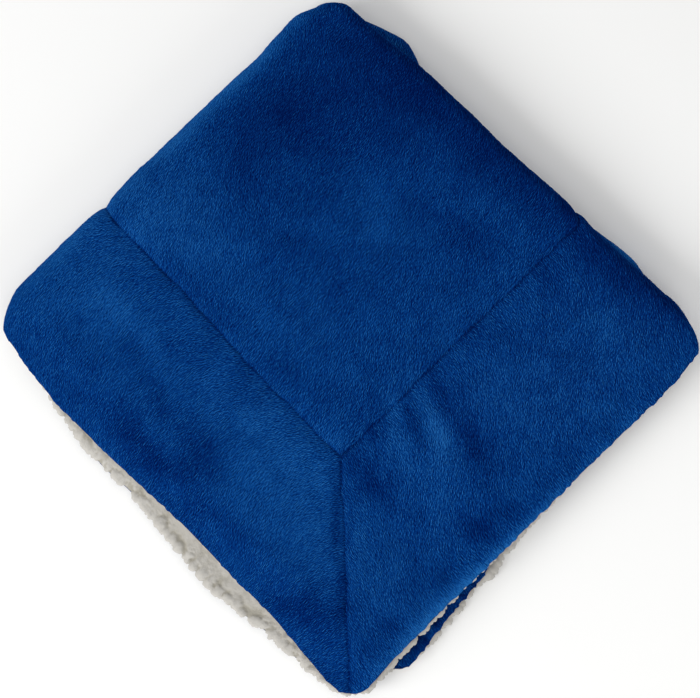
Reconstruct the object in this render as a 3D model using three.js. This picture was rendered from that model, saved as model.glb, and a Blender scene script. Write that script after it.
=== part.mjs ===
// A sherpa-backed blanket folded in four, as it lies on a table.
//
// The blanket is two plies sewn edge to edge: a cream sherpa back in one piece, and a blue plush face
// of one centre panel framed by four border strips that meet in mitred corners. It is folded in half
// with the sherpa inside, then in half again the other way, so four leaves lie on each other. The first
// fold is doubled along +Y, the second is the single big roll along -X, and the free edges of the four
// leaves come together along +X and -Y. The leaf on top shows one corner of the blanket.
//
// Every panel is laid out flat on one grid and then folded. Flat, a point has three coordinates:
//   across  from -WIDTH / 2 to WIDTH / 2, over the first fold at 0: leaves 1 and 4, then leaves 2 and 3
//   along   from -LENGTH / 2 to LENGTH / 2, over the second fold at 0: leaves 1 and 2, then leaves 3 and 4
//   depth   from 0 on the sherpa's pile to CLOTH on the plush pile
// Folded, the blanket rests on z = 0 with +Z up and the origin under its middle, in millimetres.

import * as THREE from "three";

// The cloth, flat.
const LENGTH = 804;
const WIDTH = 732;
const END_BORDER = 134; // border strips across the two ends
const SIDE_BORDER = 121; // border strips along the two sides
const SHERPA = 5.6; // the back ply with its curled pile
const PLUSH = 2.2; // the face ply with its short pile
const PLY_GAP = 0.5; // between the two plies, before the stack is pressed down
const SEAM_GAP = 0.4; // between panels that are sewn edge to edge
const CLOTH = SHERPA + PLY_GAP + PLUSH;
const PLY_LINE = SHERPA + PLY_GAP / 2; // the depth at which the two plies are sewn together

// The stack of four leaves.
const LEAF_GAP = 2; // between leaves, before the stack is pressed down
const PAIR = LEAF_GAP / 2 + CLOTH; // half the thickness of two leaves with the sherpa inside
const ROLL = LEAF_GAP / 2 + 2 * PAIR; // radius of the second fold, outside
const FIRST_BEND = (Math.PI / 2) * (LEAF_GAP / 2 + PLY_LINE); // cloth in a quarter turn of the first fold
const SECOND_BEND = (Math.PI / 2) * (ROLL - PLUSH); // and of the second

// The height of the stack as a share of its loose height, in the middle and at the free edges, and where
// the slopes to its four sides begin. Along the folds it keeps its loose height.
const PRESSED = { middle: 0.92, edge: 0.74, left: -178, right: 194, near: -188, far: 169 };
const EDGE_SLOPE = 44; // the free edges sink over this width
const MIDDLE_SLOPE = 90; // the leaves settle over this distance from the folds
const SAG = 6.5; // the upper leaves sink this deep outside the side edge of leaf 3, which is tucked in
const SAG_WIDTH = 38;

// Seams and sewn edges.
const NOSE = 6; // the two plies round off together over this width at a free edge
const NOSE_TIP = 0.55; // share of the thickness that is left at the very edge
const SEAM_DIP = 1.6; // a seam sinks this deep
const SEAM_WIDTH = 6;
const SEAM_HOLLOW = 1.1; // and pulls a wider hollow beside it
const SEAM_HOLLOW_WIDTH = 26;

// Where the end edge of each leaf lies along X. at is the share of the way from the first fold to the
// side edge.
const END_EDGES = [
  { at: 0, leaf1: 190, leaf2: 190, leaf3: 187, leaf4: 187 },
  { at: 0.03, leaf1: 192.3, leaf2: 191.8, leaf3: 189, leaf4: 189 },
  { at: 0.08, leaf1: 193.8, leaf2: 193, leaf3: 190, leaf4: 190 },
  { at: 0.35, leaf1: 192.4, leaf2: 192, leaf3: 190, leaf4: 190 },
  { at: 0.6, leaf1: 191.5, leaf2: 190.5, leaf3: 182, leaf4: 194.5 },
  { at: 0.68, leaf1: 190.8, leaf2: 190.5, leaf3: 193.5, leaf4: 197 },
  { at: 0.78, leaf1: 191, leaf2: 191.5, leaf3: 197, leaf4: 199 },
  { at: 0.88, leaf1: 191, leaf2: 192.5, leaf3: 200, leaf4: 197.5 },
  { at: 0.96, leaf1: 192.5, leaf2: 193.5, leaf3: 203, leaf4: 183 },
  { at: 1, leaf1: 188, leaf2: 187, leaf3: 198, leaf4: 176 },
];
// Where the side edge of each leaf lies along Y. at is the share of the way from the second fold to the
// end edge. Leaf 3 is tucked in.
const SIDE_EDGES = [
  { at: 0, leaf1: -178.5, leaf2: -178, leaf3: -178, leaf4: -180 },
  { at: 0.15, leaf1: -186, leaf2: -188.5, leaf3: -174, leaf4: -183 },
  { at: 0.3, leaf1: -186, leaf2: -196.5, leaf3: -165, leaf4: -186 },
  { at: 0.4, leaf1: -184.6, leaf2: -195, leaf3: -159, leaf4: -187 },
  { at: 0.5, leaf1: -182.8, leaf2: -198, leaf3: -154, leaf4: -188 },
  { at: 0.66, leaf1: -183.2, leaf2: -202, leaf3: -151, leaf4: -190 },
  { at: 0.78, leaf1: -183, leaf2: -196, leaf3: -150, leaf4: -189 },
  { at: 0.95, leaf1: -187.2, leaf2: -190.5, leaf3: -151, leaf4: -186 },
  { at: 1, leaf1: -184, leaf2: -184, leaf3: -149, leaf4: -178 },
];
// Where the middle of the first fold lies along Y, for leaves 1 and 2 above and leaves 3 and 4 below.
// at is the share of the way from the second fold to the end edge.
const FIRST_FOLD = [
  { at: 0, above: 168, below: 168 },
  { at: 0.08, above: 169, below: 177 },
  { at: 0.13, above: 170.5, below: 181.5 },
  { at: 0.2, above: 173, below: 174.5 },
  { at: 0.27, above: 173.5, below: 172 },
  { at: 0.5, above: 174, below: 173 },
  { at: 0.64, above: 177.5, below: 175 },
  { at: 0.72, above: 175.5, below: 179.5 },
  { at: 0.8, above: 176, below: 182.3 },
  { at: 0.84, above: 176.5, below: 180 },
  { at: 0.88, above: 177.2, below: 176 },
  { at: 0.93, above: 178.2, below: 175.5 },
  { at: 1, above: 172.5, below: 171.5 },
];
// Where the middle of the second fold lies along X. at is the share of the way from the first fold to
// the side edge.
const SECOND_FOLD = [
  { at: 0, x: -172 },
  { at: 0.05, x: -179.2 },
  { at: 0.1, x: -178.6 },
  { at: 0.17, x: -177.6 },
  { at: 0.3, x: -179 },
  { at: 0.65, x: -182 },
  { at: 0.93, x: -182.8 },
  { at: 1, x: -176.5 },
];
const MIDDLE = { x: -0.4, y: -5 }; // the middle of the stack in these tables, which comes to the origin
const ROUND_END = 9; // the first fold is drawn in this far where it meets the end edges
const ROUND_SIDE = 12; // the side edges where they meet the second fold
const ROUND_FOLD = 9; // and the first fold where it meets the second

// Soft ridges and hollows that run through the whole stack: place, size, turn and rise of each.
const CREASES = [
  { x: 125, y: -20, long: 60, wide: 26, turn: 20, rise: 1.4 },
  { x: 128, y: -75, long: 70, wide: 28, turn: 12, rise: -1.4 },
  { x: -40, y: -110, long: 70, wide: 28, turn: 62, rise: -1.3 },
  { x: -110, y: 20, long: 80, wide: 30, turn: 80, rise: 1.6 },
  { x: 0, y: 60, long: 110, wide: 40, turn: 30, rise: 1.5 },
  { x: 60, y: 120, long: 60, wide: 30, turn: 100, rise: -1.2 },
];

const clamp = (value, low, high) => Math.min(high, Math.max(low, value));
const smooth = (share) => {
  const s = clamp(share, 0, 1);
  return s * s * (3 - 2 * s);
};
const mix = (a, b, share) => a + (b - a) * share;
const bell = (distance, width) => Math.exp(-((distance / width) ** 2));

// A smooth curve through one column of a table, at a share of its length.
function curve(table, column, share) {
  const last = table.length - 1;
  const next = clamp(table.findIndex((row) => row.at > share), 1, last);
  const slope = (a, b) => (table[b][column] - table[a][column]) / (table[b].at - table[a].at);
  const tangent = (n) => slope(Math.max(0, n - 1), Math.min(last, n + 1));
  const [start, end] = share >= 1 ? [last - 1, last] : [next - 1, next];
  const span = table[end].at - table[start].at;
  const s = clamp((share - table[start].at) / span, 0, 1);
  const bent = (s * (1 - s) ** 2 * tangent(start) - s * s * (1 - s) * tangent(end)) * span;
  return mix(table[start][column], table[end][column], smooth(s)) + bent;
}

// The height of the stack at a place, as a share of its loose height.
function pressed(x, y) {
  const fromFree = smooth((PRESSED.right - x) / EDGE_SLOPE) * smooth((y - PRESSED.near) / EDGE_SLOPE);
  const fromFolds = smooth((x - PRESSED.left) / MIDDLE_SLOPE) * smooth((PRESSED.far - y) / MIDDLE_SLOPE);
  let share = mix(1, PRESSED.middle, fromFolds) * mix(PRESSED.edge / PRESSED.middle, 1, fromFree);
  for (const { x: cx, y: cy, long, wide, turn, rise } of CREASES) {
    const angle = THREE.MathUtils.degToRad(turn);
    const lengthwise = (x - cx) * Math.cos(angle) + (y - cy) * Math.sin(angle);
    const crosswise = (y - cy) * Math.cos(angle) - (x - cx) * Math.sin(angle);
    share += (rise / (2 * ROLL)) * bell(lengthwise, long) * bell(crosswise, wide) * fromFree;
  }
  return share;
}

// How far a flat point is from the free edges, and from the nearest seam between panels.
function fromEdge(across, along) {
  return Math.min(WIDTH / 2 - Math.abs(across), LENGTH / 2 - Math.abs(along));
}
function fromSeam(across, along) {
  const side = WIDTH / 2 - Math.abs(across); // from the side edge
  const end = LENGTH / 2 - Math.abs(along); // from the end edge
  if (side >= SIDE_BORDER && end >= END_BORDER) return Math.min(side - SIDE_BORDER, end - END_BORDER);
  const mitre = Math.abs(side * END_BORDER - end * SIDE_BORDER) / Math.hypot(SIDE_BORDER, END_BORDER);
  const seam = side / SIDE_BORDER < end / END_BORDER ? SIDE_BORDER - side : END_BORDER - end;
  return Math.min(mitre, Math.abs(seam));
}

// The depth of a point after the plies are sewn: rounded to the ply line at a free edge, sunk at a seam.
function sewn(across, along, depth) {
  const tip = 1 - clamp(fromEdge(across, along) / NOSE, 0, 1);
  const nose = mix(NOSE_TIP, 1, Math.sqrt(1 - tip * tip));
  const gap = fromSeam(across, along);
  const dip = SEAM_DIP * bell(gap, SEAM_WIDTH) + SEAM_HOLLOW * bell(gap, SEAM_HOLLOW_WIDTH);
  return (PLY_LINE + (depth - PLY_LINE) * nose) * (1 - dip / CLOTH);
}

// Carries a flat point to its place in the folded stack.
function fold(across, along, depth) {
  const outer = across < 0;
  const upper = along < 0;
  const leaf = upper ? (outer ? "leaf1" : "leaf2") : outer ? "leaf4" : "leaf3";
  const firstTurn = clamp(across / FIRST_BEND, -1, 1) * (Math.PI / 2);
  const secondTurn = clamp(along / SECOND_BEND, -1, 1) * (Math.PI / 2);
  const shareAcross = Math.max(0, Math.abs(across) - FIRST_BEND) / (WIDTH / 2 - FIRST_BEND);
  const shareAlong = Math.max(0, Math.abs(along) - SECOND_BEND) / (LENGTH / 2 - SECOND_BEND);

  // The first fold: two leaves joined by a half turn with the sherpa inside.
  const offset = LEAF_GAP / 2 + sewn(across, along, depth);
  const inSecond = Math.cos(secondTurn) ** 2; // 1 at the middle of the second fold, 0 out of it
  const radius = LEAF_GAP / 2 + PAIR - offset * Math.sin(firstTurn); // in the second fold
  const foldY = curve(FIRST_FOLD, upper ? "above" : "below", shareAlong) - ROUND_FOLD * inSecond;
  const sideY = curve(SIDE_EDGES, leaf, shareAlong) + ROUND_SIDE * inSecond * (radius / ROLL);
  const y = mix(foldY, sideY, shareAcross) + offset * Math.cos(firstTurn);

  // The second fold: that pair of leaves carried round a half turn.
  const endX = curve(END_EDGES, leaf, shareAcross) - ROUND_END * Math.cos(firstTurn) ** 2;
  const foldX = curve(SECOND_FOLD, "x", shareAcross);
  const x = mix(foldX, endX, shareAlong) - radius * Math.cos(secondTurn);
  const z = ROLL - radius * Math.sin(secondTurn);
  const past = curve(SIDE_EDGES, "leaf3", shareAlong) - y;
  const sag = upper ? SAG * smooth(past / SAG_WIDTH) * (1 - inSecond) : 0;
  return new THREE.Vector3(x - MIDDLE.x, y - MIDDLE.y, z * pressed(x, y) - sag);
}

// Grid lines of the flat layout, from one edge to the other. The shares of a border are the same on the
// sides and the ends, so that the mitres run from corner to corner of the grid.
const BORDER_SHARES = [0, 0.02, 0.06, 0.13, 0.21, 0.31, 0.45, 0.62, 0.8, 0.95];
const PANEL_SHARES = {
  across: [0, 0.04, 0.16, 0.38, 0.62, 0.84],
  along: [0, 0.03, 0.13, 0.3, 0.48, 0.64, 0.74, 0.82, 0.9],
};
function gridLines(half, border, panelShares, bend, bendSteps) {
  const lines = BORDER_SHARES.map((share) => half - border * share);
  lines.push(...panelShares.map((share) => mix(half - border, bend, share)));
  for (let step = 0; step <= bendSteps; step++) lines.push(bend * (1 - step / bendSteps));
  return [...lines.map((line) => -line), ...lines.reverse().slice(1)];
}
const ACROSS = gridLines(WIDTH / 2, SIDE_BORDER, PANEL_SHARES.across, FIRST_BEND, 4);
const ALONG = gridLines(LENGTH / 2, END_BORDER, PANEL_SHARES.along, SECOND_BEND, 6);
const SEAM_LINE = BORDER_SHARES.length; // the grid line, from an edge, on which the panel seam lies

// A flat panel between two depths, made of cells of the grid, and then folded. cellsOf gives the corners
// of the polygons that cell (i, j) adds, and drawIn moves a flat point clear of the panel's seams.
function panel(name, low, high, material, cellsOf, drawIn = (point) => point) {
  const polygons = [];
  for (let i = 0; i + 1 < ACROSS.length; i++)
    for (let j = 0; j + 1 < ALONG.length; j++) polygons.push(...cellsOf(i, j));
  const key = ([i, j]) => i * ALONG.length + j;
  const edges = new Set(polygons.flatMap((p) => p.map((c, n) => key(c) + ">" + key(p[(n + 1) % p.length]))));
  const place = ([i, j], depth) => {
    const [across, along] = drawIn([ACROSS[i], ALONG[j]]);
    return fold(across, along, depth);
  };
  const points = [];
  const triangle = (a, b, c) => points.push(a, b, c);
  for (const corners of polygons) {
    const top = corners.map((corner) => place(corner, high));
    const bottom = corners.map((corner) => place(corner, low));
    for (let n = 1; n + 1 < corners.length; n++) {
      triangle(top[0], top[n], top[n + 1]);
      triangle(bottom[0], bottom[n + 1], bottom[n]);
    }
    corners.forEach((corner, n) => {
      const m = (n + 1) % corners.length;
      if (edges.has(key(corners[m]) + ">" + key(corner))) return; // a neighbour carries on from here
      // Walls that face each other across a seam are split the same way, however they twist.
      const [from, to] = key(corner) < key(corners[m]) ? [n, m] : [m, n];
      triangle(bottom[n], bottom[m], top[to]);
      triangle(bottom[from], top[m], top[n]);
    });
  }
  const mesh = new THREE.Mesh(new THREE.BufferGeometry().setFromPoints(points), material);
  mesh.geometry.computeVertexNormals();
  mesh.name = name;
  return mesh;
}

// How many grid lines a cell is from the nearest side and end edge, and on which side of 0 it is.
function whereIs(i, j) {
  const side = Math.min(i, ACROSS.length - 2 - i);
  const end = Math.min(j, ALONG.length - 2 - j);
  return { side, end, left: i < ACROSS.length / 2 - 1, near: j < ALONG.length / 2 - 1 };
}

// The two halves of a cell. They meet on the diagonal that runs inwards from the blanket's corner, so
// that the facets of the two plies lie parallel and a mitre can follow the diagonals.
function halves(i, j) {
  const { left, near } = whereIs(i, j);
  const [a, b, c, d] = [[i, j], [i + 1, j], [i + 1, j + 1], [i, j + 1]];
  return left === near ? [[a, b, c], [a, c, d]] : [[a, b, d], [b, c, d]];
}

// The cells of a border strip: whole ones, and half of each cell that the mitre crosses.
function stripCells(onSide, first) {
  return (i, j) => {
    const { side, end, left, near } = whereIs(i, j);
    if ((onSide ? left : near) !== first) return [];
    if (side >= SEAM_LINE && end >= SEAM_LINE) return [];
    if (side !== end) return side < end === onSide ? halves(i, j) : [];
    const outermost = onSide ? (left ? i : i + 1) : near ? j : j + 1;
    return halves(i, j).filter((half) => half.filter((c) => c[onSide ? 0 : 1] === outermost).length === 2);
  };
}

// A strip keeps half a seam's gap from its mitres and from the centre panel.
function clearOfSeams(onSide) {
  return ([across, along]) => {
    const side = WIDTH / 2 - Math.abs(across);
    const end = LENGTH / 2 - Math.abs(along);
    const onMitre = Math.abs(side / SIDE_BORDER - end / END_BORDER) < 1e-6;
    let [a, b] = [Math.abs(across), Math.abs(along)];
    if (onSide && side > SIDE_BORDER - 1e-6) a += SEAM_GAP / 2;
    if (!onSide && end > END_BORDER - 1e-6) b += SEAM_GAP / 2;
    if (onMitre && onSide) b -= SEAM_GAP / Math.SQRT2;
    if (onMitre && !onSide) a -= SEAM_GAP / Math.SQRT2;
    return [Math.sign(across) * a, Math.sign(along) * b];
  };
}

function centreClear([across, along]) {
  const a = Math.min(Math.abs(across), WIDTH / 2 - SIDE_BORDER - SEAM_GAP / 2);
  const b = Math.min(Math.abs(along), LENGTH / 2 - END_BORDER - SEAM_GAP / 2);
  return [Math.sign(across) * a, Math.sign(along) * b];
}

const sherpa = new THREE.MeshStandardMaterial({ color: 0xd9d4c8, roughness: 0.95, metalness: 0 });
const plush = new THREE.MeshStandardMaterial({ color: 0x0b3f86, roughness: 0.8, metalness: 0 });

const face = SHERPA + PLY_GAP;
const blanket = new THREE.Group();
blanket.name = "folded_sherpa_blanket";
blanket.add(
  panel("sherpa_back", 0, SHERPA, sherpa, halves),
  panel(
    "centre_panel",
    face,
    CLOTH,
    plush,
    (i, j) => {
      const { side, end } = whereIs(i, j);
      return side >= SEAM_LINE && end >= SEAM_LINE ? halves(i, j) : [];
    },
    centreClear,
  ),
  panel("border_strip_end_upper", face, CLOTH, plush, stripCells(false, true), clearOfSeams(false)),
  panel("border_strip_end_lower", face, CLOTH, plush, stripCells(false, false), clearOfSeams(false)),
  panel("border_strip_side_outer", face, CLOTH, plush, stripCells(true, true), clearOfSeams(true)),
  panel("border_strip_side_inner", face, CLOTH, plush, stripCells(true, false), clearOfSeams(true)),
);

export default blanket;
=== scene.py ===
# %% [markdown]
# # A sherpa blanket, folded in four
# The object is a small two-ply blanket as it lies on a table. Its back is cream sherpa, a knitted fleece
# with a curled pile. Its face is blue plush, cut as one centre panel and four border strips that meet in
# mitred corners. It is folded in half with the sherpa inside, and then in half again.
# The lesson makes every panel flat first, as a grid of numpy arrays, and then folds the grid. That keeps
# the cloth's true size, and the pile's pattern follows the cloth round each fold. A simulation could fold
# it too, but its leaves wouldn't stop where those in the photograph do.

# %% [markdown]
# ## The frame
# The imported model says where each panel lies and what it rests on. It is loaded first and never moved.

import bpy
import numpy as np
from mathutils import Matrix, Vector


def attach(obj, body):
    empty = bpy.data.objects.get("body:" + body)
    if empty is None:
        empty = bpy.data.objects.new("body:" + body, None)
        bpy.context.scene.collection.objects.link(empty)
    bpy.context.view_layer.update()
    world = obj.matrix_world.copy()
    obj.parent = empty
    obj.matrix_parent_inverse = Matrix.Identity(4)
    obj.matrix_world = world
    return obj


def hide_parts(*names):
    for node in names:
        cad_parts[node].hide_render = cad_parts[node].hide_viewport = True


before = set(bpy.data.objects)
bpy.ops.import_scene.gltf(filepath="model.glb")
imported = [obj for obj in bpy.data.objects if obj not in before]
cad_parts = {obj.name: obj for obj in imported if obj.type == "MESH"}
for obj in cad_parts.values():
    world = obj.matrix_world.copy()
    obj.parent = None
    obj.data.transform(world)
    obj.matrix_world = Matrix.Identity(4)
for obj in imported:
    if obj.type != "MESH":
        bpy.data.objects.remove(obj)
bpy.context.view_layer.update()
print("nodes:", sorted(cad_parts))

# %% [markdown]
# ## The cloth, flat
# A maker cuts a back of 732 by 804 mm, a centre panel, and border strips 121 and 134 mm wide. These are the
# driving sizes, and they are the same as in the model of the solids. Sizes are in millimetres until a
# point goes into a mesh. A flat point has three coordinates: `across` runs over the first fold at 0,
# `along` runs over the second fold at 0, and `depth` runs from the sherpa's pile to the plush's.

# %% Sizes of the cloth
MM = 0.001
LENGTH = 804
WIDTH = 732
END_BORDER = 134
SIDE_BORDER = 121
SHERPA = 5.6  # the back's thickness, with its pile
PLUSH = 2.2  # the face's thickness, with its pile
PLY_GAP = 0.5
SEAM_GAP = 0.01  # sewn panels meet here, and the model of the solids keeps them 0.4 mm apart
CLOTH = SHERPA + PLY_GAP + PLUSH
PLY_LINE = SHERPA + PLY_GAP / 2  # the depth at which the plies are sewn together
LEAF_GAP = 2
PAIR = LEAF_GAP / 2 + CLOTH  # half the height of two leaves
ROLL = LEAF_GAP / 2 + 2 * PAIR  # half the height of the loose stack
FIRST_BEND = (np.pi / 2) * (LEAF_GAP / 2 + PLY_LINE)  # half the cloth that goes round the first fold
SECOND_BEND = (np.pi / 2) * (ROLL - PLUSH)  # and round the second
print(f"flat {WIDTH} x {LENGTH} mm, cloth {CLOTH:.1f} mm thick, fold {2 * ROLL:.1f} mm high")

# %% [markdown]
# ## Where the edges lie
# Cloth folded by hand never lines up. Short tables hold the places of the four leaves' edges and of the
# two folds, each row at a share of the way along that edge. Leaf 1 is on top, and leaf 4 lies on the
# table. The top leaf's cloth has also been pulled about, so that its seams aren't straight. Two more
# tables say by how many millimetres, at places along each seam.

# %% Tables of edges, folds and seams
END_EDGES = {
    "at": [0, 0.03, 0.08, 0.35, 0.6, 0.68, 0.78, 0.88, 0.96, 1],
    "leaf1": [190, 192.3, 193.8, 192.4, 191.5, 190.8, 191, 191, 192.5, 188],
    "leaf2": [190, 191.8, 193, 192, 190.5, 190.5, 191.5, 192.5, 193.5, 187],
    "leaf3": [187, 189, 190, 190, 182, 193.5, 197, 200, 203, 198],
    "leaf4": [187, 189, 190, 190, 194.5, 197, 199, 197.5, 183, 176],
}
SIDE_EDGES = {
    "at": [0, 0.15, 0.3, 0.4, 0.5, 0.66, 0.78, 0.95, 1],
    "leaf1": [-178.5, -186, -186, -184.6, -182.8, -183.2, -183, -187.2, -184],
    "leaf2": [-178, -188.5, -196.5, -195, -198, -202, -196, -190.5, -184],
    "leaf3": [-178, -174, -165, -159, -154, -151, -150, -151, -149],
    "leaf4": [-180, -183, -186, -187, -188, -190, -189, -186, -178],
}
FIRST_FOLD = {
    "at": [0, 0.08, 0.13, 0.2, 0.27, 0.5, 0.64, 0.72, 0.8, 0.84, 0.88, 0.93, 1],
    "above": [168, 169, 170.5, 173, 173.5, 174, 177.5, 175.5, 176, 176.5, 177.2, 178.2, 172.5],
    "below": [168, 177, 181.5, 174.5, 172, 173, 175, 179.5, 182.3, 180, 176, 175.5, 171.5],
}
SECOND_FOLD = {
    "at": [0, 0.05, 0.1, 0.17, 0.3, 0.65, 0.93, 1],
    "x": [-172, -179.2, -178.6, -177.6, -179, -182, -182.8, -176.5],
}
# "line" is where a straight seam would lie, and "reach" is how far the pull carries into the cloth
SIDE_SEAM = {"at": [-180, -130, -97, -60, 0, 60], "by": [1, 4, 3.2, 0, -2.9, -4], "line": -62, "reach": 42}
END_SEAM = {"at": [-62, 0, 60, 120, 175], "by": [3.2, 2.6, 1.9, 2.6, 3.8], "line": 57, "reach": 42}
MIDDLE = (-0.4, -5)  # the tables' X and Y that go to the frame's origin
ROUND_END = 9  # an end edge draws back this far where it goes round the first fold
ROUND_SIDE = 12  # a side edge, round the second fold
ROUND_FOLD = 9  # and the first fold itself, round the second
print("the first fold's table has", len(FIRST_FOLD["at"]), "rows")

# %% [markdown]
# ## Steps, bells and curves
# Real cloth has no sharp change anywhere, so one value always runs into the next by a smooth step or a
# bell. A smooth curve through a table's rows gives an edge's place anywhere along it.

# %% Functions of shape
def clamp(value, low, high):
    """value held between low and high."""
    return np.clip(value, low, high)


def smooth(share):
    """An S-shaped step: 3 s^2 - 2 s^3, with s the share held between 0 and 1."""
    s = clamp(share, 0, 1)
    return s * s * (3 - 2 * s)


def mix(a, b, share):
    """a at share 0, b at share 1, and evenly between them."""
    return a + (b - a) * share


def bell(distance, width):
    """A bell: e to the power of minus (distance / width) squared."""
    return np.exp(-((distance / width) ** 2))


def curve(table, column, share):
    """A smooth curve through a column. Between two rows it is the smooth step from one to the other, bent
    so that its slope at each row is that of the line between the two rows next to it."""
    at = np.array(table["at"], float)
    value = np.array(table[column], float)
    last = len(at) - 1
    before = np.maximum(np.arange(last + 1) - 1, 0)
    after = np.minimum(np.arange(last + 1) + 1, last)
    slope = (value[after] - value[before]) / (at[after] - at[before])
    end = clamp(np.searchsorted(at, share, side="right"), 1, last)
    start = end - 1
    span = at[end] - at[start]
    s = clamp((share - at[start]) / span, 0, 1)
    bent = (s * (1 - s) ** 2 * slope[start] - s * s * (1 - s) * slope[end]) * span
    return mix(value[start], value[end], smooth(s)) + bent


print("leaf 1 ends at", [round(float(curve(END_EDGES, "leaf1", np.array(s))), 1) for s in (0, 0.5, 1)])

# %% [markdown]
# ## How the stack lies
# The leaves settle in the middle, and the free edges sink further, because no fold props them up. Soft
# ridges and hollows run through the whole stack where hands have moved it. Each is an oval that fades out
# by a bell. The upper leaves sag where they reach out past leaf 3.

# %% The stack's height
# shares of the loose height in the middle and at a free edge, and where the four sides are
PRESSED = {"middle": 0.92, "edge": 0.74, "left": -178, "right": 194, "near": -188, "far": 169}
EDGE_SLOPE = 44  # the height falls off over this many millimetres at a free edge
MIDDLE_SLOPE = 90  # and over this many from a fold to the middle
SAG = {"deep": 6.5, "wide": 38}
CREASES = [  # x, y, length and width of an oval, its turn in degrees, and its rise
    (125, -20, 60, 26, 20, 1.4),
    (128, -75, 70, 28, 12, -1.4),
    (-40, -110, 70, 28, 62, -1.3),
    (-110, 20, 80, 30, 80, 1.6),
    (0, 60, 110, 40, 30, 1.5),
    (60, 120, 60, 30, 100, -1.2),
]


def patch(x, y, oval):
    """1 in the middle of an oval and 0 far from it: a bell along its length times one across."""
    middle_x, middle_y, long, wide, turn = oval
    turn = np.radians(turn)
    lengthwise = (x - middle_x) * np.cos(turn) + (y - middle_y) * np.sin(turn)
    crosswise = (y - middle_y) * np.cos(turn) - (x - middle_x) * np.sin(turn)
    return bell(lengthwise, long) * bell(crosswise, wide)


def pressed(x, y):
    """The stack's height as a share of its loose height: less in the middle, least at the free edges, with
    the ridges and hollows added."""
    from_free = smooth((PRESSED["right"] - x) / EDGE_SLOPE) * smooth((y - PRESSED["near"]) / EDGE_SLOPE)
    from_folds = smooth((x - PRESSED["left"]) / MIDDLE_SLOPE) * smooth((PRESSED["far"] - y) / MIDDLE_SLOPE)
    share = mix(1, PRESSED["middle"], from_folds) * mix(PRESSED["edge"] / PRESSED["middle"], 1, from_free)
    for *oval, rise in CREASES:
        share = share + (rise / (2 * ROLL)) * patch(x, y, oval) * from_free
    return share


print(f"the stack is {2 * ROLL * pressed(0.0, 0.0):.1f} mm high in the middle")

# %% [markdown]
# ## Seams and sewn edges
# The panels are sewn edge to edge, so the pile sinks along each seam. Round the blanket the two plies are
# sewn face to face and turned out, so there they round off into each other. Both are worked out as a
# change of depth on the flat cloth, which the folds then carry along.

# %% Depth at seams and edges
NOSE = 6  # a free edge rounds off over this many millimetres
NOSE_TIP = 0.08  # the share of the thickness that is left at its tip
SEAM_DIP = {"deep": 1.6, "reach": 6}
SEAM_HOLLOW = {"deep": 1.1, "reach": 26}
CORNER = 9  # radius of the blanket's sewn corners


def from_sides(across, along):
    """Distances of a flat point from the nearest side edge and from the nearest end edge."""
    return WIDTH / 2 - np.abs(across), LENGTH / 2 - np.abs(along)


def from_edge(across, along):
    """Distance of a flat point from the nearest free edge."""
    return np.minimum(*from_sides(across, along))


def from_seam(across, along):
    """Distance of a flat point from the nearest seam: the centre panel's outline or a mitre."""
    side, end = from_sides(across, along)
    inside = np.minimum(side - SIDE_BORDER, end - END_BORDER)
    mitre = np.abs(side * END_BORDER - end * SIDE_BORDER) / np.hypot(SIDE_BORDER, END_BORDER)
    on_side = side / SIDE_BORDER < end / END_BORDER
    seam = np.where(on_side, SIDE_BORDER - side, END_BORDER - end)
    return np.where(inside >= 0, inside, np.minimum(mitre, np.abs(seam)))


def face_up(across, along):
    """1 on leaves 1 and 3, which lie with the plush up, 0 on the others, and between them over a fold."""
    return 0.5 + 0.5 * clamp(across / FIRST_BEND, -1, 1) * clamp(along / SECOND_BEND, -1, 1)


def sewn(across, along, depth):
    """The depth of a point after sewing: drawn to the ply line by a quarter circle at a free edge, and
    sunk by two bells, a narrow one and a wide one, at a seam."""
    tip = 1 - clamp(from_edge(across, along) / NOSE, 0, 1)
    nose = mix(NOSE_TIP, 1, np.sqrt(1 - tip * tip))
    gap = from_seam(across, along)
    narrow = SEAM_DIP["deep"] * bell(gap, SEAM_DIP["reach"])
    wide = SEAM_HOLLOW["deep"] * bell(gap, SEAM_HOLLOW["reach"])
    dip = narrow + wide
    return (PLY_LINE + (depth - PLY_LINE) * nose) * (1 - dip / CLOTH)


def round_corners(across, along):
    """Turns the square corners of the flat cloth into quarter circles: a square ring of points round the
    circle's middle is drawn in to a round one."""
    a, b = (clamp(CORNER - distance, 0, None) for distance in from_sides(across, along))
    shrink = np.maximum(a, b) / np.maximum(np.hypot(a, b), 1e-9)
    both = (a > 0) & (b > 0)
    across = np.where(both, np.sign(across) * (np.abs(across) - a * (1 - shrink)), across)
    along = np.where(both, np.sign(along) * (np.abs(along) - b * (1 - shrink)), along)
    return across, along


print(f"the plush sinks {SEAM_DIP['deep'] + SEAM_HOLLOW['deep']:.1f} mm along a seam")

# %% [markdown]
# ## The two folds
# The blanket was folded by hand, once each way. One function carries flat points to their places in the
# stack. Each fold is a half turn: close to the fold line a point goes round it, and beyond it the leaf
# lies flat between the fold and its own edge. Panels and back use the same function, so they stay together.

# %% Folding
def on_leaf(sign, across, along, start=0):
    """1 on the top leaf for a sign of -1, or on leaf 3 for a sign of 1, and 0 on the others: a smooth step
    at each fold, which starts at this share of the bend and ends one bend further on."""
    return smooth(sign * across / FIRST_BEND - start) * smooth(sign * along / SECOND_BEND - start)


def leaf_edge(table, share, across, along):
    """The place of the edge of each point's own leaf, at a share of the way along that edge."""
    above = np.where(across < 0, curve(table, "leaf1", share), curve(table, "leaf2", share))
    below = np.where(across < 0, curve(table, "leaf4", share), curve(table, "leaf3", share))
    return np.where(along < 0, above, below)


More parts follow.
